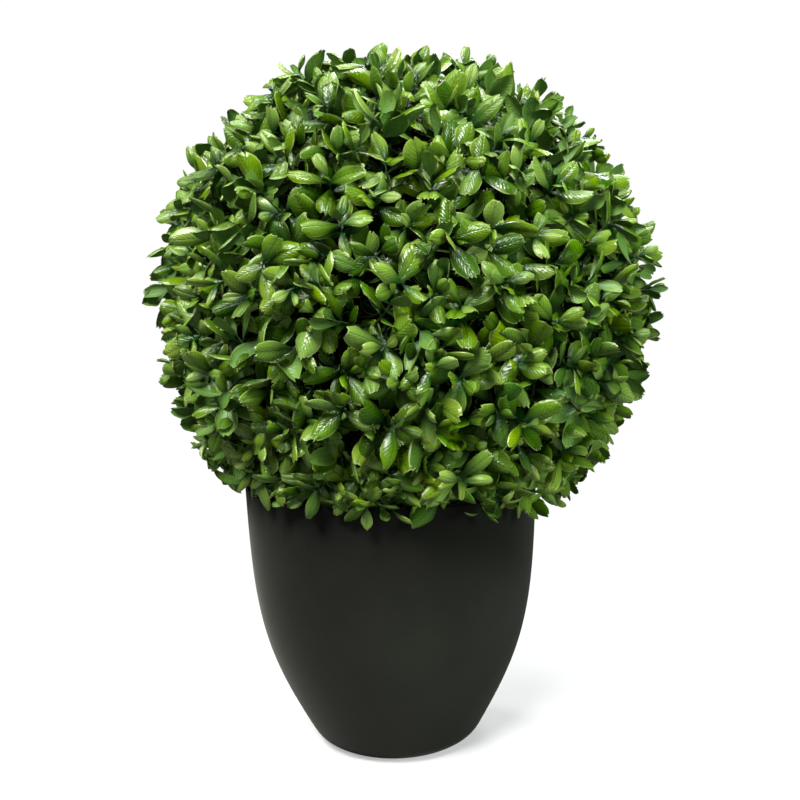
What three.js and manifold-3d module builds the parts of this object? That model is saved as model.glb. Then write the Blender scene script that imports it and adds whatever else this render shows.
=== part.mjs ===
// An artificial box topiary ball in its pot: a clipped ball of moulded leaves on a short hidden stem,
// which stands in the weighted fill of a round tapered pot. Millimetres, +Z up. The origin is the centre
// of the pot's flat foot, and the pot turns about the Z axis.
import * as THREE from "three";
import { mergeVertices } from "three/addons/utils/BufferGeometryUtils.js";
import Module from "manifold-3d";

const wasm = await Module();
wasm.setup();

// The pot: a flat foot, a rounded foot edge, then one long curve up to a nearly upright rim.
const potHeight = 201;
const rimRadius = 112;
const footRadius = 48;
const footEdgeRadius = 22;
const wallThickness = 4.5;
const rimLean = 0.034; // radians from upright, at the rim
const footLean = 0.507; // radians from upright, where the wall leaves the foot edge
const rimReach = 0.523; // share of the wall's height that the upright part bends over
const footReach = 0.394; // share of the wall's height that the leaning part bends over

// Everything turned about the pot's axis has the same sides and steps, so that facets lie face to face.
const turnedSides = 48;
const edgeSteps = 4;
const wallSteps = 8;
const lipSteps = 6;

// The weighted fill in the pot, which holds the stem.
const fillTop = 143;
const fillDomeSteps = 4;

// The ball of leaves. It stands a little to one side of the pot's axis, so the stem leans that way.
const ballRadius = 189; // mean radius, to the tips of the leaves
const ballCentre = new THREE.Vector3(11, 0, 341);
const lumpDepth = 2.4; // the clipped surface goes this far in and out, at the most
const lumpTurns = 25; // radians of each wave across the radius of the ball
const lumpWaves = 9;
const ballDetail = 13; // divisions of each face of the icosahedron

// The stem: a plain tapering stick, let into the fill and into the ball.
const stemFootRadius = 9;
const stemTopRadius = 7.5;
const stemFootHeight = 62;
const stemTopHeight = 286;
const stemSides = 24;

const gap = 0.3; // between neighbours that touch

// --- shapes -----------------------------------------------------------------------------------------

// A body of revolution about +Z, from a profile of (radius, height) points.
function turned(profile, sides) {
  const geometry = new THREE.LatheGeometry(profile, sides);
  geometry.rotateX(Math.PI / 2);
  return welded(geometry);
}

// The same surface with position only and its shared vertices merged.
function welded(geometry) {
  geometry.deleteAttribute("normal");
  geometry.deleteAttribute("uv");
  return mergeVertices(geometry, 1e-4);
}

function solidOf(geometry) {
  const mesh = new wasm.Mesh({
    numProp: 3,
    vertProperties: new Float32Array(geometry.attributes.position.array),
    triVerts: new Uint32Array(geometry.index.array),
  });
  return new wasm.Manifold(mesh);
}

function geometryOf(solid) {
  const mesh = solid.getMesh();
  const geometry = new THREE.BufferGeometry();
  geometry.setAttribute("position", new THREE.BufferAttribute(mesh.vertProperties, 3));
  geometry.setIndex(new THREE.BufferAttribute(mesh.triVerts, 1));
  geometry.computeVertexNormals();
  return geometry;
}

function named(name, geometry, color, roughness) {
  const material = new THREE.MeshStandardMaterial({ color, roughness, metalness: 0 });
  const mesh = new THREE.Mesh(geometry, material);
  mesh.name = name;
  return mesh;
}

// --- pot --------------------------------------------------------------------------------------------

// The wall's line from the foot to just under the lip, set inwards from the pot's outer face by inset.
// It is a quarter turn or less round the foot edge, then a Bezier curve up to the lip.
function wallLine(inset) {
  const lipHeight = potHeight - wallThickness / 2;
  const edge = [];
  for (let i = 0; i <= edgeSteps; i += 1) {
    const angle = -Math.PI / 2 + (i / edgeSteps) * (Math.PI / 2 - footLean);
    const reach = footEdgeRadius - inset;
    edge.push(new THREE.Vector2(footRadius + reach * Math.cos(angle), footEdgeRadius + reach * Math.sin(angle)));
  }
  const start = new THREE.Vector2(
    footRadius + footEdgeRadius * Math.cos(footLean),
    footEdgeRadius - footEdgeRadius * Math.sin(footLean),
  );
  const end = new THREE.Vector2(rimRadius, lipHeight);
  const rise = end.y - start.y;
  const fromFoot = new THREE.Vector2(Math.sin(footLean), Math.cos(footLean));
  const toRim = new THREE.Vector2(Math.sin(rimLean), Math.cos(rimLean));
  const curve = new THREE.CubicBezierCurve(
    start,
    start.clone().addScaledVector(fromFoot, rise * footReach),
    end.clone().addScaledVector(toRim, -rise * rimReach),
    end,
  );
  const wall = [];
  for (let i = 1; i <= wallSteps; i += 1) {
    const along = curve.getTangent(i / wallSteps);
    const point = curve.getPoint(i / wallSteps);
    wall.push(new THREE.Vector2(point.x - inset * along.y, point.y + inset * along.x));
  }
  return [...edge, ...wall];
}

function potGeometry() {
  const outer = wallLine(0);
  const inner = wallLine(wallThickness);
  const from = outer.at(-1);
  const to = inner.at(-1);
  const middle = new THREE.Vector2((from.x + to.x) / 2, potHeight - wallThickness / 2);
  const lip = [];
  for (let i = 1; i < lipSteps; i += 1) {
    const angle = (i / lipSteps) * Math.PI;
    lip.push(
      new THREE.Vector2(
        middle.x + (wallThickness / 2) * Math.cos(angle),
        middle.y + (wallThickness / 2) * Math.sin(angle),
      ),
    );
  }
  const underside = new THREE.Vector2(0, 0);
  const innerFloor = new THREE.Vector2(0, wallThickness);
  return turned([underside, ...outer, ...lip, ...inner.reverse(), innerFloor], turnedSides);
}

// The space that the pot's wall needs: the wall and a clearance on both sides, from the fill to the rim.
function wallRoom() {
  const outer = wallLine(-gap).filter((point) => point.y > fillTop);
  const inner = wallLine(wallThickness + gap).filter((point) => point.y > fillTop);
  const top = potHeight + gap;
  const overOuter = new THREE.Vector2(outer.at(-1).x, top);
  const overInner = new THREE.Vector2(inner.at(-1).x, top);
  return turned([...outer, overOuter, overInner, ...inner.reverse(), outer[0].clone()], turnedSides);
}

// --- stem -------------------------------------------------------------------------------------------

// The stem, made thicker and longer by room on every side, stood on the pot's axis and tilted about the
// point where it leaves the fill, so that it points at the middle of the ball.
function stemGeometry(room) {
  const foot = stemFootHeight - room;
  const top = stemTopHeight + room;
  const profile = [
    new THREE.Vector2(0, foot),
    new THREE.Vector2(stemFootRadius + room, foot),
    new THREE.Vector2(stemTopRadius + room, top),
    new THREE.Vector2(0, top),
  ];
  const tilt = Math.atan2(ballCentre.x, ballCentre.z - fillTop);
  const geometry = turned(profile, stemSides);
  geometry.translate(0, 0, -fillTop);
  geometry.rotateY(tilt);
  geometry.translate(0, 0, fillTop);
  return geometry;
}

// --- fill -------------------------------------------------------------------------------------------

function fillGeometry() {
  const side = wallLine(wallThickness + gap).filter((point) => point.y < fillTop);
  const edge = side.at(-1);
  const foot = new THREE.Vector2(0, wallThickness + gap);
  const top = [];
  for (let i = 1; i <= fillDomeSteps; i += 1) {
    const inward = i / fillDomeSteps;
    const height = edge.y + (fillTop - edge.y) * Math.sin((inward * Math.PI) / 2);
    top.push(new THREE.Vector2(edge.x * (1 - inward), height));
  }
  const blank = solidOf(turned([foot, ...side, ...top], turnedSides));
  return geometryOf(blank.subtract(solidOf(stemGeometry(gap))));
}

// --- ball of leaves ---------------------------------------------------------------------------------

// Directions spread evenly over a sphere, one to a wave.
function spiralDirection(i, count) {
  const height = 1 - (2 * i + 1) / count;
  const across = Math.sqrt(1 - height * height);
  const turn = i * Math.PI * (3 - Math.sqrt(5));
  return new THREE.Vector3(across * Math.cos(turn), across * Math.sin(turn), height);
}

// How far the clipped surface stands out of its mean ball: plain waves that cross each other.
function lumpAt(direction) {
  let sum = 0;
  for (let i = 0; i < lumpWaves; i += 1) {
    sum += Math.sin(lumpTurns * spiralDirection(i, lumpWaves).dot(direction) + 2.4 * i);
  }
  return lumpDepth * Math.tanh(sum / 2);
}

function ballGeometry() {
  const blank = welded(new THREE.IcosahedronGeometry(1, ballDetail));
  const places = blank.attributes.position;
  const direction = new THREE.Vector3();
  for (let i = 0; i < places.count; i += 1) {
    direction.fromBufferAttribute(places, i).normalize();
    const reach = ballRadius + lumpAt(direction);
    places.setXYZ(
      i,
      ballCentre.x + reach * direction.x,
      ballCentre.y + reach * direction.y,
      ballCentre.z + reach * direction.z,
    );
  }
  const cutters = solidOf(wallRoom()).add(solidOf(stemGeometry(gap)));
  return geometryOf(solidOf(blank).subtract(cutters));
}

// --- the object -------------------------------------------------------------------------------------

const topiary = new THREE.Group();
topiary.add(
  named("pot", potGeometry(), 0x1f1f1c, 0.62),
  named("pot_fill", fillGeometry(), 0x4a443c, 0.95),
  named("stem", stemGeometry(0), 0x3a2a1c, 0.8),
  named("leaf_ball", ballGeometry(), 0x3f7a1f, 0.55),
);

export default topiary;
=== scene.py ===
import math

import bpy
import numpy as np
from mathutils import Matrix, Vector


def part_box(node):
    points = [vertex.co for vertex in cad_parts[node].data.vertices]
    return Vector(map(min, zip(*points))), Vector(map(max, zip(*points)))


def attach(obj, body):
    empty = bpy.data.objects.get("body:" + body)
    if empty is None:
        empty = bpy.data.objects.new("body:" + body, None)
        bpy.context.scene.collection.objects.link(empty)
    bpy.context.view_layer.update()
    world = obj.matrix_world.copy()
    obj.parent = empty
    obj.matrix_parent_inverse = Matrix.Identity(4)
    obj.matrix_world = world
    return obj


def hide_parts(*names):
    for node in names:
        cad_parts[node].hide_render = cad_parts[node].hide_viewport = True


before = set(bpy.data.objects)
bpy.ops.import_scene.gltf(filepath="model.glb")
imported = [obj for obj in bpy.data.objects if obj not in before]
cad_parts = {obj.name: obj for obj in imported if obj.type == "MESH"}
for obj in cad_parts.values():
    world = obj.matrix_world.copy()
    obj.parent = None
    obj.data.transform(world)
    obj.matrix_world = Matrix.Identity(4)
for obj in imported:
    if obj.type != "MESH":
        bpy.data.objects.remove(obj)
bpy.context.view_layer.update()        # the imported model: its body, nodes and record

mm = 0.001
bakeMap = "OFBake"       # the UV map that every leaf is laid out on

rimRadius, _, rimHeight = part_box("pot")[1]
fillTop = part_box("pot_fill")[1].z
stemLow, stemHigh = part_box("stem")
ballLow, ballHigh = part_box("leaf_ball")
ballShift = np.array([2.5, 0.0, -5.5]) * mm   # from the middle of the ball's box to the middle of the leaves
ballMiddle = np.array((ballLow + ballHigh) / 2) * [1.0, 0.0, 1.0] + ballShift
ballReach = (ballHigh.z - ballLow.z) / 2      # from the middle of the leaves to their outline

camera = {
    "distance": 0.700,       # in front of the pot's axis
    "aside": 0.0088,
    "height": 0.3277,
    "lookDown": 0.093,       # radians
    "roll": 0.0255,          # radians, clockwise
    "lens": 40.85,
    "sensor": 36.0,
    "nearest": 0.01,         # anything closer isn't seen
}


def addCamera():
    data = bpy.data.cameras.new("camera")
    data.lens = camera["lens"]
    data.sensor_width = camera["sensor"]
    data.clip_start = camera["nearest"]
    view = bpy.data.objects.new("camera", data)
    place = Matrix.Translation((camera["aside"], -camera["distance"], camera["height"]))
    tilt = Matrix.Rotation(math.pi / 2 - camera["lookDown"], 4, "X")
    view.matrix_world = place @ (tilt @ Matrix.Rotation(-camera["roll"], 4, "Z"))
    bpy.context.scene.collection.objects.link(view)
    bpy.context.scene.camera = view
    print("placed the camera")


lights = {
    # name: (place, aimed at, size across, power in watts, colour)
    "keySoftbox": ((-0.42, -1.12, 1.42), (0.0, 0.0, 0.30), 0.64, 43.0, (1.0, 0.99, 0.97)),
    "topSoftbox": ((0.15, 0.05, 1.50), (0.0, 0.0, 0.30), 0.50, 10.6, (0.97, 0.99, 1.0)),
    "backSoftbox": ((0.50, 1.25, 1.40), (0.0, 0.0, 0.28), 0.80, 16.0, (0.99, 1.0, 1.0)),
    "backFill": ((-1.05, 1.25, 1.25), (0.0, 0.0, 0.20), 0.60, 20.0, (1.0, 1.0, 1.0)),
    "leftSoftbox": ((-1.15, 0.25, 1.30), (0.0, 0.0, 0.20), 0.60, 6.5, (1.0, 0.99, 0.96)),
    "rightFill": ((1.30, -0.80, 0.55), (0.0, 0.0, 0.20), 0.60, 19.0, (0.90, 1.0, 0.97)),
    "frontFill": ((0.10, -2.00, 0.30), (0.0, 0.0, 0.20), 0.90, 5.0, (0.90, 1.0, 0.97)),
}


def addLights():
    for name, (place, aim, size, power, colour) in lights.items():
        data = bpy.data.lights.new(name, "AREA")
        data.shape = "DISK"
        data.size = size
        data.energy = power
        data.color = colour
        lamp = bpy.data.objects.new(name, data)
        facing = (Vector(aim) - Vector(place)).to_track_quat("-Z", "Y").to_matrix().to_4x4()
        lamp.matrix_world = Matrix.Translation(place) @ facing
        lamp.visible_glossy = not name.endswith("Fill")     # a fill light leaves no highlight
        bpy.context.scene.collection.objects.link(lamp)
    print("hung", len(lights), "lights")


studio = {
    "backdrop": 1.02,        # strength of the white all round, as the camera sees it
    "glow": 0.02,            # and as it lights the object
}


def addWorld():
    # white all round: its strength is the glow, plus what the backdrop has over it where the camera looks
    world = bpy.data.worlds.new("studio")
    world.use_nodes = True
    tree = world.node_tree
    tree.nodes.clear()
    seen = tree.nodes.new("ShaderNodeLightPath").outputs["Is Camera Ray"]
    strength = calc(tree, "MULTIPLY_ADD", seen, studio["backdrop"] - studio["glow"], studio["glow"])
    background = tree.nodes.new("ShaderNodeBackground")
    background.inputs["Color"].default_value = (1.0, 1.0, 1.0, 1.0)
    tree.links.new(strength, background.inputs["Strength"])
    output = tree.nodes.new("ShaderNodeOutputWorld")
    tree.links.new(background.outputs[0], output.inputs["Surface"])
    bpy.context.scene.world = world
    bpy.context.scene.view_settings.view_transform = "Standard"
    print("lit the studio")


def wire(tree, value, socket):
    # links another socket, or sets a plain value
    if isinstance(value, bpy.types.NodeSocket):
        tree.links.new(value, socket)
    else:
        socket.default_value = value


def calc(tree, operation, *values):
    node = tree.nodes.new("ShaderNodeMath")
    node.operation = operation
    for value, socket in zip(values, node.inputs):
        wire(tree, value, socket)
    return node.outputs[0]


def ramp(tree, value, low, high, toLow=0.0, toHigh=1.0, kind="SMOOTHSTEP"):
    # goes from toLow to toHigh while the value goes from low to high
    node = tree.nodes.new("ShaderNodeMapRange")
    node.interpolation_type = kind
    ends = {"Value": value, "From Min": low, "From Max": high, "To Min": toLow, "To Max": toHigh}
    for label, end in ends.items():
        wire(tree, end, node.inputs[label])
    return node.outputs["Result"]


def spread(tree, chance, ends):
    # evenly between two ends, by a chance between 0 and 1
    return ramp(tree, chance, 0.0, 1.0, *ends, kind="LINEAR")


def blend(tree, factor, first, second):
    node = tree.nodes.new("ShaderNodeMix")
    node.data_type = "RGBA"
    wire(tree, factor, node.inputs[0])
    wire(tree, first, node.inputs[6])
    wire(tree, second, node.inputs[7])
    return node.outputs[2]


def twoTone(tree, mask, low, high, colours):
    # from the first colour to the second while the mask goes from low to high
    return blend(tree, ramp(tree, mask, low, high), *colours)


def noise(tree, vector, scale, detail=3.0):
    node = tree.nodes.new("ShaderNodeTexNoise")
    wire(tree, vector, node.inputs["Vector"])
    node.inputs["Scale"].default_value = scale
    node.inputs["Detail"].default_value = detail
    node.inputs["Roughness"].default_value = 0.55
    return node.outputs["Fac"]


def objectPlace(tree):
    return tree.nodes.new("ShaderNodeTexCoord").outputs["Object"]


def newGroup(name, inputs, outputs):
    group = bpy.data.node_groups.new(name, "ShaderNodeTree")
    for label, kind, value in inputs:
        group.interface.new_socket(label, in_out="INPUT", socket_type=kind).default_value = value
    for label, kind in outputs:
        group.interface.new_socket(label, in_out="OUTPUT", socket_type=kind)
    return group, group.nodes.new("NodeGroupInput"), group.nodes.new("NodeGroupOutput")


def useGroup(tree, group, **values):
    node = tree.nodes.new("ShaderNodeGroup")
    node.node_tree = group
    for label, value in values.items():
        wire(tree, value, node.inputs[label])
    return node.outputs


def newMaterial(name, **fixed):
    # the fixed values are sockets of the shader, with _ for each space in their names
    material = bpy.data.materials.new(name)
    material.use_nodes = True
    tree = material.node_tree
    surface = tree.nodes["Principled BSDF"]
    for label, value in fixed.items():
        surface.inputs[label.replace("_", " ")].default_value = value
    return material, tree, surface


def addBump(tree, surface, height, depth, strength=1.0):
    bump = tree.nodes.new("ShaderNodeBump")
    bump.inputs["Distance"].default_value = depth
    bump.inputs["Strength"].default_value = strength
    tree.links.new(height, bump.inputs["Height"])
    tree.links.new(bump.outputs["Normal"], surface.inputs["Normal"])


def addMesh(name, points, corners, sizes, material, uv=None):
    # corners lists each face's points in turn, sizes the number of corners of each face
    mesh = bpy.data.meshes.new(name)
    mesh.vertices.add(len(points))
    mesh.vertices.foreach_set("co", np.asarray(points, np.float32).ravel())
    mesh.loops.add(len(corners))
    mesh.loops.foreach_set("vertex_index", np.asarray(corners, np.int32))
    mesh.polygons.add(len(sizes))
    starts = np.concatenate([[0], np.cumsum(sizes)[:-1]])
    mesh.polygons.foreach_set("loop_start", starts.astype(np.int32))
    if uv is not None:
        layer = mesh.uv_layers.new(name=bakeMap)
        layer.data.foreach_set("uv", np.asarray(uv, np.float32)[corners].ravel())
    mesh.update(calc_edges=True)
    mesh.validate()
    mesh.polygons.foreach_set("use_smooth", np.ones(len(sizes), bool))
    mesh.materials.append(material)
    piece = bpy.data.objects.new(name, mesh)
    bpy.context.scene.collection.objects.link(piece)
    return piece


def sheetCorners(copies, rows, columns):
    # the four corners of each square of a grid of rows by columns points, for each copy in turn
    row, column = np.meshgrid(np.arange(rows - 1), np.arange(columns - 1), indexing="ij")
    first = (row * columns + column).ravel()
    square = np.stack([first, first + columns, first + columns + 1, first + 1], 1)
    return (square[None] + np.arange(copies)[:, None, None] * rows * columns).reshape(-1, 4)


def ringCorners(rows, columns):
    # the same for one grid whose last column meets its first
    row, column = np.meshgrid(np.arange(rows - 1), np.arange(columns), indexing="ij")
    after = (column + 1) % columns
    square = np.stack([row * columns + column, row * columns + after, (row + 1) * columns + after,
                       (row + 1) * columns + column], 2)
    return square.reshape(-1, 4)


def addRound(name, points, poles, material, outward=1):
    # rings of points, closed by a pole before the first and one after the last; -1 turns the faces over
    rows, columns = points.shape[:2]
    here, after = np.arange(columns), (np.arange(columns) + 1) % columns
    last, pole = (rows - 1) * columns, rows * columns
    squares = ringCorners(rows, columns)[:, ::outward]
    near = np.stack([np.full(columns, pole), after, here], 1)[:, ::outward]
    far = np.stack([np.full(columns, pole + 1), last + here, last + after], 1)[:, ::outward]
    corners = np.concatenate([squares.ravel(), near.ravel(), far.ravel()])
    sizes = np.concatenate([np.full(len(squares), 4), np.full(2 * columns, 3)])
    return addMesh(name, np.concatenate([points.reshape(-1, 3), poles]), corners, sizes, material)


def addTurned(name, profile, sides, material):
    # each point (radius, height) of the profile goes to (radius * cos a, radius * sin a, height) at even
    # angles a round the Z axis, and its two ends lie on the axis and become poles
    radius, height = profile[1:-1, :1], profile[1:-1, 1:]
    angle = np.arange(sides) * 2 * math.pi / sides
    rings = np.stack([radius * np.cos(angle), radius * np.sin(angle), np.repeat(height, sides, 1)], 2)
    poles = np.array([[0, 0, profile[0, 1]], [0, 0, profile[-1, 1]]])
    return addRound(name, rings, poles, material)


def unit(vectors):
    return vectors / np.linalg.norm(vectors, axis=-1, keepdims=True)


def spiralDirections(count):
    # directions spread evenly over a ball: heights in equal steps, each turned on by the golden angle
    height = 1 - (2 * np.arange(count) + 1) / count
    turn = np.arange(count) * math.pi * (3 - math.sqrt(5))
    across = np.sqrt(1 - height ** 2)
    return np.stack([across * np.cos(turn), across * np.sin(turn), height], 1)


pot = {
    "footRadius": 48 * mm,
    "edgeRadius": 22 * mm,       # the rounded edge of the foot
    "wall": 4.5 * mm,
    "rimLean": 0.034,            # radians from upright, at the rim
    "footLean": 0.507,           # and where the wall leaves the foot's edge
    "rimReach": 0.523,           # how far the curve is drawn along each lean, for a wall of one
    "footReach": 0.394,
    "sides": 192,
    "outerSteps": (16, 64),      # round the foot's edge and up the wall
    "innerSteps": (10, 36),
    "lipSteps": 12,
    "underRings": (0.35, 0.7, 0.97),        # shares of the foot's radius
    "insideRing": 0.6,
    "colour": (0.0108, 0.0116, 0.0082, 1.0),
    "colourWorn": (0.0156, 0.0166, 0.0122, 1.0),
    "worn": (0.45, 0.95),        # cloudiness at which the wear begins and is complete
    "dust": (0.16, 0.16, 0.14, 1.0),
    "dustCells": 70.0,           # for each metre
    "dusty": (0.93, 0.95),       # only cells whose chance is above these hold a speck
    "dustSize": (0.035, 0.015),  # from a speck's edge to its full colour, for a cell of one
    "rimPaintedShadow": (0.50, 1.04),    # painted shadow of the ball: multiplies the colour at the rim, and from the next height down
    "rimPaintedShadowDown": 0.45,        # for a rim at one
    "footPaintedShade": (0.55, 1.0),    # painted shade, darker towards the foot: multiplies it on the floor, and from the next height up
    "footPaintedShadeUp": 0.35,
    "roughness": (0.50, 0.60),
    "grain": 0.10,               # added to the roughness
    "clouds": 16.0,              # noises, in cells for each metre
    "grit": 420.0,
    "grains": 1500.0,
    "gritWear": 0.35,            # how much the grit adds to the wear, and to the relief
    "gritRelief": 0.6,
    "relief": 0.05 * mm,
}


def potWall(inset, edgeSteps, wallSteps):
    # a part of a circle round the foot's edge, then one Bezier curve up to the lip, which is four points
    # weighted by the terms of ((1 - s) + s) cubed; both are moved inwards by the inset, square to the line
    footLean, rimLean = pot["footLean"], pot["rimLean"]
    angle = np.linspace(-math.pi / 2, -footLean, edgeSteps + 1)
    edge = np.stack([pot["footRadius"] + (pot["edgeRadius"] - inset) * np.cos(angle),
                     pot["edgeRadius"] + (pot["edgeRadius"] - inset) * np.sin(angle)], 1)
    start = np.array([pot["footRadius"] + pot["edgeRadius"] * math.cos(footLean),
                      pot["edgeRadius"] * (1 - math.sin(footLean))])
    end = np.array([rimRadius, rimHeight - pot["wall"] / 2])
    rise = end[1] - start[1]
    second = start + rise * pot["footReach"] * np.array([math.sin(footLean), math.cos(footLean)])
    third = end - rise * pot["rimReach"] * np.array([math.sin(rimLean), math.cos(rimLean)])
    s = np.linspace(0, 1, wallSteps + 1)[1:, None]
    r = 1 - s
    curve = r ** 3 * start + 3 * r ** 2 * s * second + 3 * r * s ** 2 * third + s ** 3 * end
    along = unit(r ** 2 * (second - start) + 2 * r * s * (third - second) + s ** 2 * (end - third))
    return np.concatenate([edge, curve + inset * np.stack([-along[:, 1], along[:, 0]], 1)])


def potMaterial():
    # matt charcoal, blended towards a worn tone where the clouds plus some of the grit are high and towards
    # dust at the middle of a few cells; then multiplied by a painted shadow of the ball down from the rim and
    # a painted shade up from the foot
    material, tree, surface = newMaterial(
        "charcoalPot", IOR=1.45, Specular_IOR_Level=0.26, Sheen_Weight=0.13, Sheen_Roughness=0.44,
        Sheen_Tint=(1.0, 1.0, 0.88, 1.0))
    place = objectPlace(tree)
    cloud = noise(tree, place, pot["clouds"], 4.0)
    grain = noise(tree, place, pot["grains"], 2.0)
    grit = noise(tree, place, pot["grit"])
    wear = calc(tree, "MULTIPLY_ADD", grit, pot["gritWear"], cloud)
    colour = twoTone(tree, wear, *pot["worn"], (pot["colour"], pot["colourWorn"]))
    speck = tree.nodes.new("ShaderNodeTexVoronoi")
    tree.links.new(place, speck.inputs["Vector"])
    speck.inputs["Scale"].default_value = pot["dustCells"]
    chosen = ramp(tree, speck.outputs["Color"], *pot["dusty"])
    dust = calc(tree, "MULTIPLY", chosen, ramp(tree, speck.outputs["Distance"], *pot["dustSize"]))
    colour = blend(tree, dust, colour, pot["dust"])
    split = tree.nodes.new("ShaderNodeSeparateXYZ")
    tree.links.new(place, split.inputs[0])
    height = split.outputs["Z"]
    # painted shadow of the ball, darker from the rim down, and painted shade, darker towards the foot
    paintedBallShadow = ramp(tree, height, rimHeight, rimHeight * pot["rimPaintedShadowDown"], *pot["rimPaintedShadow"])
    foot = ramp(tree, height, 0.0, rimHeight * pot["footPaintedShadeUp"], *pot["footPaintedShade"])
    scaled = tree.nodes.new("ShaderNodeVectorMath")
    scaled.operation = "SCALE"
    tree.links.new(colour, scaled.inputs[0])
    tree.links.new(calc(tree, "MULTIPLY", paintedBallShadow, foot), scaled.inputs["Scale"])
    tree.links.new(scaled.outputs[0], surface.inputs["Base Color"])
    rough = ramp(tree, cloud, 0.3, 0.7, *pot["roughness"])
    rough = calc(tree, "MULTIPLY_ADD", grain, pot["grain"], rough)
    tree.links.new(rough, surface.inputs["Roughness"])
    addBump(tree, surface, calc(tree, "MULTIPLY_ADD", grit, pot["gritRelief"], grain), pot["relief"], 0.8)
    return material


def addPot():
    # one closed profile turned round the axis: out along the underside, up the outer wall, over half a circle
    # of lip, down the inner wall and back to the axis
    outer = potWall(0.0, *pot["outerSteps"])
    inner = potWall(pot["wall"], *pot["innerSteps"])[::-1]
    middle = np.array([(outer[-1, 0] + inner[0, 0]) / 2, rimHeight - pot["wall"] / 2])
    turn = np.linspace(0, math.pi, pot["lipSteps"] + 1)[1:-1]
    lip = middle + pot["wall"] / 2 * np.stack([np.cos(turn), np.sin(turn)], 1)
    under = np.array([[pot["footRadius"] * share, 0.0] for share in (0.0, *pot["underRings"])])
    inside = np.array([[pot["footRadius"] * share, pot["wall"]] for share in (pot["insideRing"], 0.0)])
    profile = np.concatenate([under, outer, lip, inner, inside])
    shell = addTurned("potShell", profile, pot["sides"], potMaterial())
    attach(shell, "root")
    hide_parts("pot")
    print("turned the pot")


fill = {
    "colours": ((0.035, 0.028, 0.020, 1.0), (0.085, 0.072, 0.055, 1.0)),
    "lumps": 140.0,              # for each metre
    "relief": 1.5 * mm,
}


def fillMaterial():
    # rough brown filler: one noise gives both its two tones and its lumps
    material, tree, surface = newMaterial("castFiller", Roughness=0.95)
    lumps = noise(tree, objectPlace(tree), fill["lumps"], 6.0)
    tree.links.new(twoTone(tree, lumps, 0.3, 0.7, fill["colours"]), surface.inputs["Base Color"])
    addBump(tree, surface, lumps, fill["relief"])
    return material


def finishFill():
    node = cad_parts["pot_fill"]
    node.data.materials.clear()
    node.data.materials.append(fillMaterial())
    print("finished the fill")


stem = {
    "footRadius": 9.0 * mm,
    "topRadius": 7.5 * mm,
    "clear": 0.4 * mm,           # kept free at each end
    "relief": 0.5 * mm,
    "ridges": 11,
    "wander": ((0.8, 9, 0.0), (0.5, 23, 1.3)),    # of the ridges: how far, how fast, from where
    "knots": (31, 3),            # radians of the finer waves from foot to top, and how many go round
    "knotty": 0.4,               # their share of the relief
    "sides": 66,
    "steps": 90,
    "colours": ((0.020, 0.012, 0.006, 1.0), (0.085, 0.052, 0.028, 1.0)),
    "fibres": 420.0,             # for each metre across the stem
    "drawnOut": 0.12,            # share of those for each metre up it
    "bump": 0.5 * mm,
}


def stemMaterial():
    # brown fibres: a noise drawn out along the stem gives the two tones and the grain
    material, tree, surface = newMaterial("stemBark", Roughness=0.8)
    stretch = tree.nodes.new("ShaderNodeMapping")
    stretch.inputs["Scale"].default_value = (1.0, 1.0, stem["drawnOut"])
    tree.links.new(objectPlace(tree), stretch.inputs["Vector"])
    fibre = noise(tree, stretch.outputs["Vector"], stem["fibres"], 5.0)
    tree.links.new(twoTone(tree, fibre, 0.3, 0.7, stem["colours"]), surface.inputs["Base Color"])
    addBump(tree, surface, fibre, stem["bump"])
    return material


def addStem():
    # A round bar whose radius goes evenly from foot to top, less half the relief times (1 - bark). Bark is a
    # sine of the ridges round the bar, which wander as they climb, plus a finer sine up and round it. The bar
    # leans about the point where it leaves the fill, towards the middle of the ball.
    lean = math.atan2(ballMiddle[0], ballMiddle[2] - fillTop)
    share = np.linspace(0, 1, stem["steps"])[:, None]
    angle = (np.arange(stem["sides"]) * 2 * math.pi / stem["sides"])[None]
    wander = sum(aside * np.sin(fast * share + start) for aside, fast, start in stem["wander"])
    up, around = stem["knots"]
    ridges, knots = np.sin(stem["ridges"] * angle + wander), np.sin(up * share + around * angle)
    bark = (1 - stem["knotty"]) * ridges + stem["knotty"] * knots
    radius = stem["footRadius"] + (stem["topRadius"] - stem["footRadius"]) * share
    radius = radius - stem["relief"] * (1 - bark) / 2
    low, high = stemLow.z + stem["clear"], stemHigh.z - stem["clear"]
    height = low + share * (high - low) - fillTop
    across, aside = radius * np.cos(angle), radius * np.sin(angle)
    points = np.stack([across * math.cos(lean) + height * math.sin(lean), aside,
                       height * math.cos(lean) - across * math.sin(lean) + fillTop], 2).reshape(-1, 3)
    squares = ringCorners(stem["steps"], stem["sides"])
    end = np.arange(stem["sides"])
    corners = np.concatenate([squares.ravel(), end[::-1], end + (stem["steps"] - 1) * stem["sides"]])
    sizes = np.concatenate([np.full(len(squares), 4), [stem["sides"]] * 2])
    bark = addMesh("stemBark", points, corners, sizes, stemMaterial())
    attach(bark, "root")
    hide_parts("stem")
    print("made the stem")


innerBall = {
    # the moulded ball that the sprigs are pegged into
    "radius": 0.139,
    "ribDepth": 1.6 * mm,
    "ribs": 18,
    "ribEdge": 0.86,             # where a rib rises from the ball, on its cosine
    "ribSide": 0.1,              # and how wide its side is
    "flangeWidth": 0.02,         # radians
    "flangeHeight": 1.5,         # for a rib of one
    "rows": 91,
    "columns": 144,
    "colours": ((0.0015, 0.0025, 0.0008, 1.0), (0.006, 0.007, 0.002, 1.0)),
    "clouds": 55.0,              # for each metre
    "grains": 700.0,
    "bump": 0.1 * mm,
}


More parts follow.
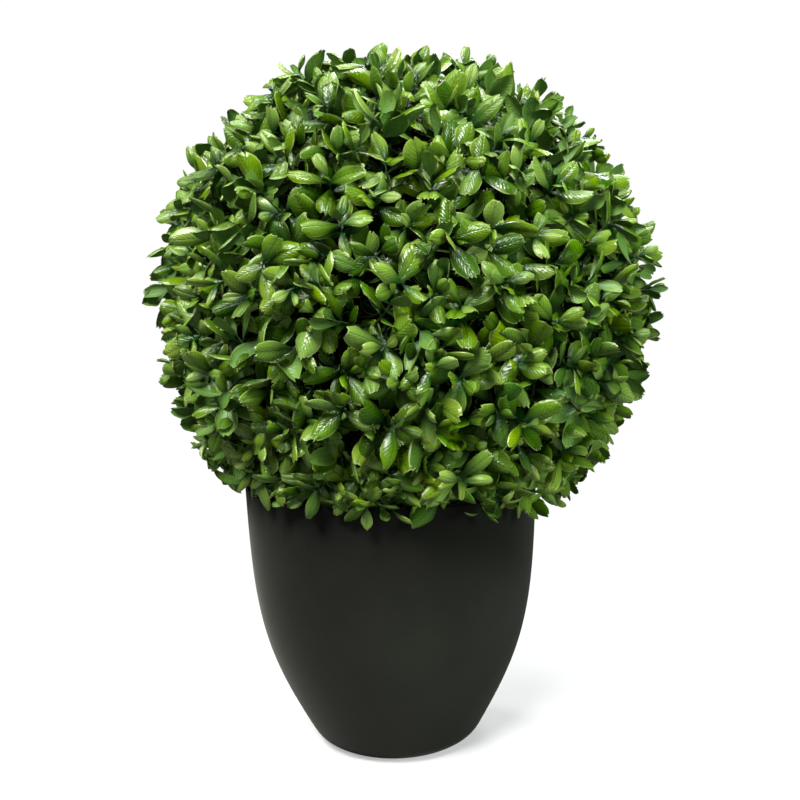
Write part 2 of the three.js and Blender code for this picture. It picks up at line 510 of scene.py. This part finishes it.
def darkPlastic():
    # nearly black plastic: a cloudy noise gives its two tones, a finer one its grain
    material, tree, surface = newMaterial("innerBall", Roughness=0.7, Specular_IOR_Level=0.1)
    place = objectPlace(tree)
    cloud = noise(tree, place, innerBall["clouds"], 4.0)
    tree.links.new(blend(tree, cloud, *innerBall["colours"]), surface.inputs["Base Color"])
    addBump(tree, surface, noise(tree, place, innerBall["grains"]), innerBall["bump"])
    return material


def addInnerBall():
    # A ball whose radius rises by the rib depth where the cosine of half the ribs times its tilt or its turn
    # is near one, which makes a crossing lattice, and in a narrow bell curve where its halves join.
    tilt = np.linspace(0, math.pi, innerBall["rows"])[:, None]
    turn = (np.arange(innerBall["columns"]) * 2 * math.pi / innerBall["columns"])[None]
    waves = innerBall["ribs"] / 2
    ribs = np.maximum(np.abs(np.cos(waves * tilt)), np.abs(np.cos(waves * turn)))
    ribs = np.clip((ribs - innerBall["ribEdge"]) / innerBall["ribSide"], 0, 1) * np.sin(tilt)
    flange = innerBall["flangeHeight"] * np.exp(-((tilt - math.pi / 2) / innerBall["flangeWidth"]) ** 2)
    radius = innerBall["radius"] + innerBall["ribDepth"] * (np.maximum(ribs, flange) - 1)
    across = radius * np.sin(tilt)
    rings = np.stack([across * np.cos(turn), across * np.sin(turn), radius * np.cos(tilt)], 2)
    poles = np.array([[0, 0, rings[0, 0, 2]], [0, 0, rings[-1, 0, 2]]])
    piece = addRound("innerBall", rings[1:-1] + ballMiddle, poles + ballMiddle, darkPlastic(), -1)
    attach(piece, "root")
    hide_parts("leaf_ball")
    print("made the inner ball")


sprigs = {
    "seed": 88,
    "pegs": 300,               # holes in the inner ball, which the twigs fork from
    "jitter": 0.48,            # how far a sprig strays from its even place
    "lean": 1.00,              # about how far it turns from straight outwards, in radians
    "furthest": 5.5 * mm,      # no tip stands out more than this
    "sizes": (0.86, 1.14),
    "skirt": -0.1,             # sprigs below this height, for a ball of one, turn up
    "skirtLift": (0.2, 1.1),
    "lowest": (0.88, 12 * mm),    # at this share of the reach, none lies deeper than this under the rim
    "overhang": (0.40, 1.00),  # share of the leaves kept outside the rim, in front and at the sides
    "clearOutside": 1.5 * mm,  # kept free of leaves and twigs, round the pot's wall
    "clearInside": 2 * mm,
    "tone": 3.45,              # mean place in the list of tints, for the lowest whorl
    "toneClimb": 0.80,         # how much lighter each whorl is than the one below it
    "toneSprigs": 0.95,        # how much the sprigs differ, and the leaves of one sprig
    "toneLeaves": 0.55,
}
layers = {
    # count is the sprigs tried, tips the mean and spread of their furthest tips from the outline, fewest the
    # clear leaves that a sprig needs to stay, grid the rows and columns of points of a leaf
    "outer": {"count": 760, "tips": (-1.7 * mm, 3.9 * mm), "fewest": 3, "grid": (8, 9),
              "size": 1.0, "width": 1.0, "droop": 0.0},
    # raised along the rim: band is its heights for a ball of one, lift how far the sprigs turn up
    "collar": {"count": 200, "tips": (-0.5 * mm, 2.5 * mm), "fewest": 4, "grid": (8, 9),
               "size": 1.18, "width": 0.68, "droop": 0.72, "band": (-0.85, -0.62), "lift": (-0.10, 0.50)},
    # darker and plainer, deep under the others; their nearly black tint is painted shade
    "inner": {"count": 290, "tips": (-25 * mm, 4.0 * mm), "fewest": 3, "grid": (5, 5),
              "size": 1.0, "width": 1.0, "droop": 0.0},
}
whorls = (
    # a pair of leaves each: millimetres up the twig, radians from it, millimetres long, radians of bend,
    # share of the sprigs that have it
    (0.0, 1.32, 24.5, 0.43, 1.0),
    (4.5, 1.12, 27.0, 0.54, 1.0),
    (9.5, 0.82, 24.5, 0.60, 1.0),
    (14.0, 0.42, 17.0, 0.46, 0.8),
)
leaf = {
    "width": 0.495,            # across, for a length of one
    "petiole": 0.10,           # narrowest half width, at the twig
    "swell": 1.25,             # more than one makes it widen later
    "widest": (0.49, 0.68),    # where along the leaf it is widest, least and most
    "taper": (0.44, 0.68),     # from a rounded tip to a pointed one
    "lastRow": 0.93,           # where the sides end and the rounded tip begins
    "rowPower": 1.25,          # more than one brings the rows closer towards the tip
    "tipPower": 5,             # how late the rows take on the line of the tip
    "crease": 0.36,            # rise of each half beside the midrib, for a half width of one
    "dome": 0.88,              # fall of each half towards its edge
    "waveHeight": 0.03,        # of the edges, for a length of one
    "waveTurn": 5.0,           # radians from twig to tip
    "tips": (0.20, 0.20, 0.30, 0.30),    # shares of whole, notched, twice notched and toothed tips
    "notch": (0.030, 0.085),   # depth of each, for a length of one
    "lengths": (0.78, 1.14),
    "widths": (0.84, 1.14),
    # how much the leaves of a sprig differ, as standard deviations; angles in radians
    "roll": 0.32,              # round the twig
    "spread": 0.26,            # away from the twig
    "arch": 0.40,
    "roof": 0.22,              # of the crease
    "twist": 0.30,
    "ragged": 0.018,           # of the tip, for a length of one
    "teeth": 0.035,            # of the edges, for a half width of one
    "skew": 0.06,              # of one half against the other
    "mapRows": 8,              # skins on the leaf map, up and across
    "mapColumns": 4,
    "mapMargin": 0.04,
}
skin = {
    "veins": 9.0,
    "veinSlant": 0.32,         # how far a side vein runs forward on its way to the edge
    "pillow": 0.6,             # less than one flattens the swelling between two veins
    "pillowHeight": 0.42,
    "fadeSides": (1.0, 0.55),  # where the veins are lost and complete, across the leaf
    "fadeTwig": (0.05, 0.2),   # and along it
    "midribWidth": 0.12,
    "midribDepth": 0.50,
    "speckles": 50.0,          # across the whole map
    "speckleHeight": 1.2,
    "rimSides": (0.88, 0.96),  # where the moulded edge begins and is complete, across the leaf
    "rimTip": (0.955, 0.985),  # and along it
    "rimDepth": 0.6,
    "relief": 0.46 * mm,       # for a height of one
    "young": (0.18, 0.96),     # where the young colour begins and is complete, along the leaf; the deep colour before it is partly painted shade towards the twig
    "youngStray": 0.30,        # and how much earlier on some leaves
    # painted shade: how far the sunk veins and the sunk midrib are darkened towards the deep colour
    "veinDark": 0.34,
    "midribDark": 0.22,
    "pale": (0.48, 0.58, 0.20, 1.0),     # half mixed with the young colour: a painted highlight where the moulded edge catches the light
    "edgeHighlightShare": (0.25, 0.88),
    "edgeHighlightFrom": (0.15, 0.70),  # where it begins and is complete, along the leaf
    "hue": (0.489, 0.509),
    "saturation": (1.13, 0.92),
    "bright": (0.76, 1.04),    # before the speckle is added
    "speckleBright": 0.2,
    "rough": 0.06,
    "speckleRough": 0.14,
    "leafRough": 0.08,
    "under": (0.14, 0.30, 0.06, 1.0),    # half mixed with the colour above, for the underside: partly its own paler back, partly painted light for light shining through the leaf
    "underRough": 0.25,
}
tints = {
    # name: (young colour, deep colour, specular level); the deep colour is partly painted shade, at the twig
    # and in the sunk veins and midrib
    "leavesLime": ((0.196, 0.325, 0.034, 1.0), (0.004, 0.062, 0.005, 1.0), 0.86),
    "leavesFresh": ((0.162, 0.285, 0.025, 1.0), (0.003, 0.047, 0.004, 1.0), 0.86),
    "leavesMid": ((0.124, 0.236, 0.015, 1.0), (0.002, 0.035, 0.003, 1.0), 0.78),
    "leavesGreen": ((0.079, 0.174, 0.008, 1.0), (0.001, 0.024, 0.002, 1.0), 0.62),
    "leavesDeep": ((0.037, 0.104, 0.004, 1.0), (0.0005, 0.015, 0.001, 1.0), 0.40),
    # painted shade: nearly black, for the leaves deep under the others
    "leavesInnerPaintedShade": ((0.001, 0.009, 0.001, 1.0), (0.0005, 0.003, 0.001, 1.0), 0.10),
}


def leafSkinGroup():
    # reads the leaf map: in each of its skins s runs from the twig at 0 to the tip at 1, t from the midrib at
    # 0 to the edge at 1, and three chances are the same all over the skin
    group, given, put = newGroup(
        "leafSkin",
        [("Young", "NodeSocketColor", (0.1, 0.3, 0.03, 1.0)),
         ("Deep", "NodeSocketColor", (0.03, 0.1, 0.01, 1.0))],
        [("Color", "NodeSocketColor"), ("Roughness", "NodeSocketFloat"), ("Height", "NodeSocketFloat")],
    )
    young, deep = given.outputs["Young"], given.outputs["Deep"]
    laid = group.nodes.new("ShaderNodeUVMap")
    laid.uv_map = bakeMap
    split = group.nodes.new("ShaderNodeSeparateXYZ")
    group.links.new(laid.outputs["UV"], split.inputs[0])
    across = calc(group, "MULTIPLY", split.outputs["X"], leaf["mapColumns"])
    up = calc(group, "MULTIPLY", split.outputs["Y"], leaf["mapRows"])
    cell = group.nodes.new("ShaderNodeCombineXYZ")
    group.links.new(calc(group, "FLOOR", across), cell.inputs["X"])
    group.links.new(calc(group, "FLOOR", up), cell.inputs["Y"])
    chance = group.nodes.new("ShaderNodeTexWhiteNoise")
    chance.noise_dimensions = "2D"
    group.links.new(cell.outputs[0], chance.inputs["Vector"])
    chances = group.nodes.new("ShaderNodeSeparateColor")
    group.links.new(chance.outputs["Color"], chances.inputs[0])
    first, second, third = (chances.outputs[label] for label in ("Red", "Green", "Blue"))
    margin = leaf["mapMargin"]
    s = ramp(group, calc(group, "FRACT", across), margin, 1 - margin, kind="LINEAR")
    side = ramp(group, calc(group, "FRACT", up), margin, 1 - margin, -1.0, 1.0, kind="LINEAR")
    t = calc(group, "ABSOLUTE", side)

    # height: between each pair of side veins a pillow, which is a sine of the place between them raised to a
    # power, beside a sunk midrib, with speckles all over and the moulded edge turned down
    vein = calc(group, "MULTIPLY", calc(group, "MULTIPLY_ADD", t, -skin["veinSlant"], s), skin["veins"])
    pillow = calc(group, "SINE", calc(group, "MULTIPLY", calc(group, "FRACT", vein), math.pi))
    pillow = calc(group, "POWER", pillow, skin["pillow"])
    fade = calc(group, "MULTIPLY", ramp(group, t, *skin["fadeSides"]), ramp(group, s, *skin["fadeTwig"]))
    crease = ramp(group, t, 0.0, skin["midribWidth"])
    rounded = calc(group, "MULTIPLY_ADD", calc(group, "MULTIPLY", t, t), 1 - leaf["lastRow"], s)
    rim = calc(group, "MAXIMUM", ramp(group, t, *skin["rimSides"]), ramp(group, rounded, *skin["rimTip"]))
    speckle = noise(group, laid.outputs["UV"], skin["speckles"])
    height = calc(group, "MULTIPLY", crease, skin["midribDepth"])
    for part, amount in ((calc(group, "MULTIPLY", pillow, fade), skin["pillowHeight"]),
                         (speckle, skin["speckleHeight"]), (rim, -skin["rimDepth"])):
        height = calc(group, "MULTIPLY_ADD", part, amount, height)

    # colour: deep at the twig, partly the leaf's own colour and partly painted shade; deep as painted shade
    # in the sunk veins and along the sunk midrib; young towards the tip; pale at the edge as a painted
    # highlight
    # darker towards the twig: partly the leaf's own colour, partly painted shade where the leaves meet
    start = calc(group, "MULTIPLY_ADD", third, skin["youngStray"], s)
    colour = twoTone(group, start, *skin["young"], (deep, young))
    # painted shade in the sunk veins and along the sunk midrib
    paintedGrooveShade = calc(group, "SUBTRACT", 1.0, pillow)
    paintedGrooveShade = calc(group, "MULTIPLY", paintedGrooveShade, calc(group, "MULTIPLY", fade, skin["veinDark"]))
    paintedGrooveShade = calc(group, "MULTIPLY_ADD", calc(group, "SUBTRACT", 1.0, crease), skin["midribDark"], paintedGrooveShade)
    colour = blend(group, paintedGrooveShade, colour, deep)
    # painted highlight along the moulded edge, stronger on some leaves than others
    seen = calc(group, "MULTIPLY", rim, spread(group, third, skin["edgeHighlightShare"]))
    seen = calc(group, "MULTIPLY", seen, ramp(group, s, *skin["edgeHighlightFrom"]))
    colour = blend(group, seen, colour, blend(group, 0.50, young, skin["pale"]))
    bright = calc(group, "MULTIPLY_ADD", speckle, skin["speckleBright"], spread(group, first, skin["bright"]))
    shift = group.nodes.new("ShaderNodeHueSaturation")
    for label, value in (("Hue", spread(group, second, skin["hue"])), ("Value", bright), ("Color", colour),
                         ("Saturation", spread(group, first, skin["saturation"]))):
        wire(group, value, shift.inputs[label])

    rough = calc(group, "MULTIPLY_ADD", speckle, skin["speckleRough"], skin["rough"])
    rough = calc(group, "MULTIPLY_ADD", second, skin["leafRough"], rough)
    for label, value in (("Color", shift.outputs["Color"]), ("Roughness", rough), ("Height", height)):
        group.links.new(value, put.inputs[label])
    return group


def leafMaterial(name, young, deep, gloss, group):
    # the leaf skin, half mixed with a duller green and made rougher on the underside; that green is partly
    # the underside's own colour and partly painted light for light shining through the leaf
    material, tree, surface = newMaterial(name, IOR=1.5, Specular_IOR_Level=gloss)
    laid = useGroup(tree, group, Young=young, Deep=deep)
    under = tree.nodes.new("ShaderNodeNewGeometry").outputs["Backfacing"]
    # the paler underside is partly painted light, for light shining through the leaf
    paler = blend(tree, 0.50, laid["Color"], skin["under"])
    tree.links.new(blend(tree, under, laid["Color"], paler), surface.inputs["Base Color"])
    rough = calc(tree, "MULTIPLY_ADD", under, skin["underRough"], laid["Roughness"])
    tree.links.new(rough, surface.inputs["Roughness"])
    addBump(tree, surface, laid["Height"], skin["relief"])
    return material


def leafRows(rows):
    # rows from 0 at the twig to 1 at the tip, closer together towards the tip
    return 1 - (1 - np.linspace(0, 1, rows)) ** leaf["rowPower"]


def leafColumns(columns):
    # columns from edge to edge, closer together towards the edges
    even = np.linspace(-1, 1, columns)
    return (even + np.sin(even * math.pi / 2)) / 2


def tipReach(widest, taper, t):
    # how far along the leaf its tip reaches, t of the way out to the last row's edge: half widths beyond the
    # widest place are (1 - x * x) raised to the taper, and this is that curve read the other way
    last = (leaf["lastRow"] - widest) / (1 - widest)
    return widest + (1 - widest) * np.sqrt(1 - (1 - last ** 2) * np.abs(t) ** (1 / taper))


def leafShapes(rng, grid, base, along, facing, length, width, bend, roof, twist):
    # A leaf is a grid of rows from twig to tip and columns t from edge to edge. Its half width rises as a
    # sine to the widest place and falls as a power of (1 - x * x), to a whole, notched or toothed tip. Its
    # midrib is part of a circle, and across it each half rises beside the midrib and falls to its edge.
    count = len(base)
    rows, columns = grid
    row = leafRows(rows)[None, :, None]
    t = leafColumns(columns)[None, None, :]
    length, width, bend, roof = [value[:, None, None] for value in (length, width, bend, roof)]
    widest = rng.uniform(*leaf["widest"], (count, 1, 1))
    edge = leaf["lastRow"] * row
    rising = np.sin(math.pi / 2 * np.minimum(edge / widest, 1)) ** leaf["swell"]
    rising = leaf["petiole"] + (1 - leaf["petiole"]) * rising
    taper = rng.uniform(*leaf["taper"], (count, 1, 1))
    falling = (1 - np.clip((edge - widest) / (1 - widest), 0, 1) ** 2) ** taper
    half = np.minimum(rising, falling)
    ragged = rng.normal(0, leaf["ragged"], (count, 1, columns))
    place = np.abs(np.arange(columns) - columns // 2)
    kind = rng.choice(len(leaf["tips"]), (count, 1, 1), p=leaf["tips"])
    cut = (kind == 1) & (place == 0) | (kind == 2) & (place == 1) | (kind == 3) & (place % 2 == 1)
    notch = rng.uniform(*leaf["notch"], (count, 1, 1)) * cut
    beyond = tipReach(widest, taper, t) - notch + ragged - leaf["lastRow"]
    reach = edge + beyond * row ** leaf["tipPower"]
    teeth = 1 + rng.normal(0, leaf["teeth"], (count, rows, columns)) * row ** 2 * (np.abs(t) > 0.9)
    skew = 1 + rng.normal(0, leaf["skew"], (count, 1, 1)) * np.sign(t)
    wide = width / 2 * half * t * skew * teeth
    arc = bend * reach
    forward = length * reach * np.sinc(arc / math.pi)
    sink = length * reach * np.sin(arc / 2) * np.sinc(arc / (2 * math.pi))
    lift = width / 2 * half * ((leaf["crease"] + roof) * np.abs(t) - leaf["dome"] * t ** 2)
    wave = np.sin(leaf["waveTurn"] * row + rng.uniform(0, 2 * math.pi, (count, 1, 1)))
    lift = lift + leaf["waveHeight"] * length * wave * t ** 2 * np.sign(t) * row
    side = np.cross(facing, along)
    turned = side * np.cos(twist)[:, None] + facing * np.sin(twist)[:, None]
    upper = facing * np.cos(twist)[:, None] - side * np.sin(twist)[:, None]
    base, along, turned, upper = [value[:, None, None] for value in (base, along, turned, upper)]
    arc, forward, sink, wide, lift = [value[..., None] for value in (arc, forward, sink, wide, lift)]
    normal = upper * np.cos(arc) + along * np.sin(arc)
    return base + forward * along - sink * upper + wide * turned + lift * normal


def leafMap(rng, grid, count):
    # every leaf takes one skin of the map, laid out as a leaf of middling shape seen flat
    rows, columns = grid
    margin = leaf["mapMargin"]
    row = leafRows(rows)[:, None]
    t = leafColumns(columns)[None]
    far = tipReach(sum(leaf["widest"]) / 2, sum(leaf["taper"]) / 2, t)
    s = leaf["lastRow"] * row + (far - leaf["lastRow"]) * row ** leaf["tipPower"]
    cellAcross = rng.integers(0, leaf["mapColumns"], (count, 1, 1))
    cellUp = rng.integers(0, leaf["mapRows"], (count, 1, 1))
    u = (cellAcross + margin + (1 - 2 * margin) * s) / leaf["mapColumns"]
    v = (cellUp + margin + (1 - 2 * margin) * (t / 2 + 0.5)) / leaf["mapRows"]
    return np.stack(np.broadcast_arrays(u, v), -1)


def growSprigs(rng, layer):
    # Directions come evenly spread over the ball with a jitter, or at random over a layer's band. Each
    # sprig's axis is its direction, lifted where it stands low and turned at random; its furthest tip has a
    # height from the middle of the ball drawn about the layer's mean.
    count = layer["count"]
    if "band" in layer:
        turn, height = rng.uniform(0, 2 * math.pi, count), rng.uniform(*layer["band"], count)
        across = np.sqrt(1 - height ** 2)
        outward = np.stack([across * np.cos(turn), across * np.sin(turn), height], 1)
        lift = rng.uniform(*layer["lift"], (count, 1))
    else:
        stray = rng.normal(0, sprigs["jitter"] / math.sqrt(count), (count, 3))
        outward = unit(spiralDirections(count) + stray)
        share, depth = sprigs["lowest"]
        low = outward[:, 2] * ballReach * share + ballMiddle[2] < rimHeight - depth
        outward = outward[~low]
        lift = rng.uniform(*sprigs["skirtLift"], (len(outward), 1))
        lift = lift * np.clip(sprigs["skirt"] - outward[:, 2:], 0, 1)
    count = len(outward)
    axis = unit(outward + lift * [0.0, 0.0, 1.0] + rng.normal(0, sprigs["lean"] / 2, (count, 3)))
    tip = ballReach + np.minimum(rng.normal(*layer["tips"], count), sprigs["furthest"])
    size = rng.uniform(*sprigs["sizes"], count) * layer["size"]
    roll = rng.uniform(0, math.pi, count)
    return {"outward": outward, "axis": axis, "tip": tip, "size": size, "roll": roll}


def sprigLeaves(rng, grown, layer):
    # leaves of every whorl of every sprig; each sprig is then slid along its direction until its furthest
    # leaf tip reaches the height that it was given
    count = len(grown["tip"])
    axis = grown["axis"]
    guide = np.where(np.abs(axis[:, 2:]) < 0.9, [[0.0, 0.0, 1.0]], [[1.0, 0.0, 0.0]])
    first = unit(np.cross(axis, guide))
    second = np.cross(axis, first)
    shapes, maps, ranks = [], [], []
    for rank, (height, angle, length, bend, share) in enumerate(whorls):
        present = rng.random(count) < share
        for side in range(2):
            roll = grown["roll"] + rank * math.pi / 2 + side * math.pi + rng.normal(0, leaf["roll"], count)
            away = angle + rng.normal(0, leaf["spread"], count)
            out = np.cos(roll)[:, None] * first + np.sin(roll)[:, None] * second
            along = axis * np.cos(away)[:, None] + out * np.sin(away)[:, None]
            facing = axis * np.sin(away)[:, None] - out * np.cos(away)[:, None]
            long = length * mm * grown["size"] * rng.uniform(*leaf["lengths"], count)
            wide = long * leaf["width"] * layer["width"] * rng.uniform(*leaf["widths"], count)
            base = axis * (height * mm * grown["size"])[:, None] + out * twigs["radius"] * twigs["seat"]
            arch = bend + layer["droop"] + rng.normal(0, leaf["arch"], count)
            roof = rng.normal(0, leaf["roof"], count)
            twist = rng.normal(0, leaf["twist"], count)
            shapes.append(leafShapes(rng, layer["grid"], base, along, facing, long, wide, arch, roof, twist))
            maps.append(leafMap(rng, layer["grid"], count))
            ranks.append(np.where(present, rank, -1))
    shapes, maps, ranks = np.stack(shapes, 1), np.stack(maps, 1), np.stack(ranks, 1)
    heights = (shapes * grown["outward"][:, None, None, None]).sum(-1).max((2, 3))
    furthest = np.where(ranks >= 0, heights, 0).max(1)
    root = grown["outward"] * (grown["tip"] - furthest)[:, None]
    return shapes + (root + ballMiddle)[:, None, None, None], maps, ranks, root


def inPotWall(points):
    radius = np.hypot(points[..., 0], points[..., 1])
    low = points[..., 2] < rimHeight + sprigs["clearOutside"]
    within = rimRadius - pot["wall"] - sprigs["clearInside"]
    return low & (radius < rimRadius + sprigs["clearOutside"]) & (radius > within)


def clearOfPot(shapes, rng):
    # drops leaves that would pass through the pot's wall, and a share of those that hang down outside it:
    # many in front and behind, few at the sides
    points = shapes.reshape(*shapes.shape[:2], -1, 3)
    radius = np.hypot(points[..., 0], points[..., 1])
    hangs = ((points[..., 2] < rimHeight + sprigs["clearOutside"]) & (radius > rimRadius)).any(-1)
    middle = unit(points.mean(2)[..., :2])
    front, side = sprigs["overhang"]
    share = front + (side - front) * middle[..., 0] ** 2
    return ~inPotWall(points).any(-1) & (~hangs | (rng.random(hangs.shape) < share))


def dealTints(rng, ranks):
    # the place of each leaf in the list of tints: lighter from whorl to whorl, with a normal spread between
    # the sprigs and a smaller one between the leaves of a sprig
    mood = rng.normal(0, sprigs["toneSprigs"], len(ranks))[:, None]
    stray = rng.normal(0, sprigs["toneLeaves"], ranks.shape)
    tone = np.rint(sprigs["tone"] - sprigs["toneClimb"] * ranks + mood + stray)
    return np.clip(tone, 0, len(tints) - 2).astype(int)


def addLeafPiece(name, shapes, maps, material):
    count, rows, columns = shapes.shape[:3]
    squares = sheetCorners(count, rows, columns)
    sizes = np.full(len(squares), 4)
    piece = addMesh(name, shapes.reshape(-1, 3), squares.ravel(), sizes, material, maps.reshape(-1, 2))
    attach(piece, "root")
    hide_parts("leaf_ball")
    print("made", name, count, "leaves,", 2 * len(squares), "triangles")


twigs = {
    "radius": 0.75 * mm,
    "seat": 0.6,               # share of the radius at which a leaf starts
    "pegDepth": 1.5 * mm,
    "elbow": 0.45,             # how far back along the sprig's axis it bends, for one to its peg
    "steps": (0.0, 0.3, 0.6, 0.85, 1.0),    # along the curve from the peg
    "thickness": (2.0, 1.6, 1.35, 1.15, 1.0, 0.8, 0.35),    # at these steps, half way up the sprig and on top
    "sides": 6,
    "colours": ((0.005, 0.022, 0.003, 1.0), (0.020, 0.042, 0.008, 1.0)),
    "streaks": 260.0,          # for each metre
    "bump": 0.2 * mm,
}


def twigMaterial():
    # dark green plastic: one noise gives its two tones and its unevenness
    material, tree, surface = newMaterial("twigs", Roughness=0.55, Specular_IOR_Level=0.3)
    streak = noise(tree, objectPlace(tree), twigs["streaks"])
    tree.links.new(twoTone(tree, streak, 0.35, 0.65, twigs["colours"]), surface.inputs["Base Color"])
    addBump(tree, surface, streak, twigs["bump"])
    return material


def twigPaths(root, grown, pegs):
    # each twig leaves the nearest peg of the inner ball, bends along a quadratic curve to the foot of its
    # sprig, and runs on up the sprig's axis to the last whorl
    foot = pegs[np.argmax(grown["outward"] @ pegs.T, 1)] * (innerBall["radius"] - twigs["pegDepth"])
    top = root + grown["axis"] * (whorls[-1][0] * mm * grown["size"])[:, None]
    elbow = root - grown["axis"] * twigs["elbow"] * np.linalg.norm(root - foot, axis=1)[:, None]
    s = np.array(twigs["steps"])[:, None, None]
    curve = (1 - s) ** 2 * foot + 2 * (1 - s) * s * elbow + s ** 2 * root
    return np.concatenate([curve, ((root + top) / 2)[None], top[None]]).transpose(1, 0, 2) + ballMiddle


def addTwigs(name, path, material):
    # tubes that grow thinner along their paths: about each step a ring of points at even angles, square to
    # the path's own direction
    sides = twigs["sides"]
    forward = unit(np.gradient(path, axis=1))
    guide = unit(np.cross(forward, unit(np.array([0.31, 0.52, 0.79]))))     # square to one slanting line
    other = np.cross(forward, guide)
    radius = twigs["radius"] * np.array(twigs["thickness"])[None, :, None, None]
    angle = (np.arange(sides) * 2 * math.pi / sides)[None, None, :, None]
    ring = np.cos(angle) * guide[:, :, None] + np.sin(angle) * other[:, :, None]
    points = path[:, :, None] + radius * ring
    count, rows = path.shape[:2]
    start = np.arange(count)[:, None] * rows * sides
    squares = (ringCorners(rows, sides)[None] + start[..., None]).reshape(-1, 4)
    tops = start + (rows - 1) * sides + np.arange(sides)
    feet = start + np.arange(sides)[::-1]
    corners = np.concatenate([squares.ravel(), tops.ravel(), feet.ravel()])
    sizes = np.concatenate([np.full(len(squares), 4), np.full(2 * count, sides)])
    piece = addMesh(name, points.reshape(-1, 3), corners, sizes, material)
    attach(piece, "root")
    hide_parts("leaf_ball")
    print("made", name, count, "twigs")


def addCrown():
    # sprigs grow layer by layer; the leaves that stay go by tint into piles, and each pile makes a piece
    # above the middle of the ball and one below it
    rng = np.random.default_rng(sprigs["seed"])
    group = leafSkinGroup()
    materials = {name: leafMaterial(name, *looks, group) for name, looks in tints.items()}
    piles = {name: [] for name in tints}
    pegs = spiralDirections(sprigs["pegs"])
    bark = twigMaterial()
    for label, layer in layers.items():
        grown = growSprigs(rng, layer)
        shapes, maps, ranks, root = sprigLeaves(rng, grown, layer)
        path = twigPaths(root, grown, pegs)
        keep = clearOfPot(shapes, rng) & (ranks >= 0)
        stays = (keep.sum(1) >= layer["fewest"]) & ~inPotWall(path).any(1)
        keep = keep & stays[:, None]
        # the inner layer's nearly black tint is painted shade, for leaves deep under the others
        tone = np.full(ranks.shape, len(tints) - 1) if label == "inner" else dealTints(rng, ranks)
        for index, name in enumerate(tints):
            chosen = keep & (tone == index)
            if chosen.any():
                piles[name].append((shapes[chosen], maps[chosen]))
        addTwigs("twigs" + label.capitalize(), path[stays], bark)
    for name, pile in piles.items():
        shapes, maps = [np.concatenate(parts) for parts in zip(*pile)]
        upper = shapes[:, 0, 0, 2] > ballMiddle[2]
        addLeafPiece(name + "Upper", shapes[upper], maps[upper], materials[name])
        addLeafPiece(name + "Lower", shapes[~upper], maps[~upper], materials[name])


ground = {
    "radii": (0.0, 5.0, 5.02, 5.0, 2.5, 1.0, 0.4, 0.15, 0.0),    # metres, from the underside round to the top
    "heights": (-4.0, -4.0, -2.0, -0.3, -0.3, -0.3, -0.3, -0.3, -0.3),    # millimetres
    "sides": 96,
    "colours": ((0.84, 0.84, 0.84, 1.0), (0.88, 0.88, 0.88, 1.0)),
    "bounce": (0.08, 0.08, 0.08, 1.0),    # its colour as the object sees it
    "glow": 1.04,
    "fade": (0.07, 0.45),      # metres from the middle over which it passes into the white all round
    "fadeFrom": 0.40,
}


def addFloor():
    # a pale turned disc, mixed with a white glow by a share that rises with the distance from its middle, and
    # only as the camera sees it
    material, tree, surface = newMaterial("paleFloor", Roughness=0.9)
    place = objectPlace(tree)
    colour = blend(tree, noise(tree, place, 4.0), *ground["colours"])
    seen = tree.nodes.new("ShaderNodeLightPath").outputs["Is Camera Ray"]
    tree.links.new(blend(tree, seen, ground["bounce"], colour), surface.inputs["Base Color"])
    glow = tree.nodes.new("ShaderNodeEmission")
    glow.inputs["Strength"].default_value = ground["glow"]
    far = tree.nodes.new("ShaderNodeVectorMath")
    far.operation = "LENGTH"
    tree.links.new(place, far.inputs[0])
    fade = ramp(tree, far.outputs["Value"], *ground["fade"], ground["fadeFrom"], 1.0)
    mix = tree.nodes.new("ShaderNodeMixShader")
    tree.links.new(calc(tree, "MULTIPLY", seen, fade), mix.inputs[0])
    tree.links.new(surface.outputs[0], mix.inputs[1])
    tree.links.new(glow.outputs[0], mix.inputs[2])
    tree.links.new(mix.outputs[0], tree.nodes["Material Output"].inputs["Surface"])
    profile = np.stack([np.array(ground["radii"]), np.array(ground["heights"]) * mm], 1)
    floor = addTurned("floor", profile, ground["sides"], material)
    print("laid the floor")


addCamera()
addWorld()
addLights()
addFloor()
addPot()
finishFill()
addStem()
addInnerBall()
addCrown()
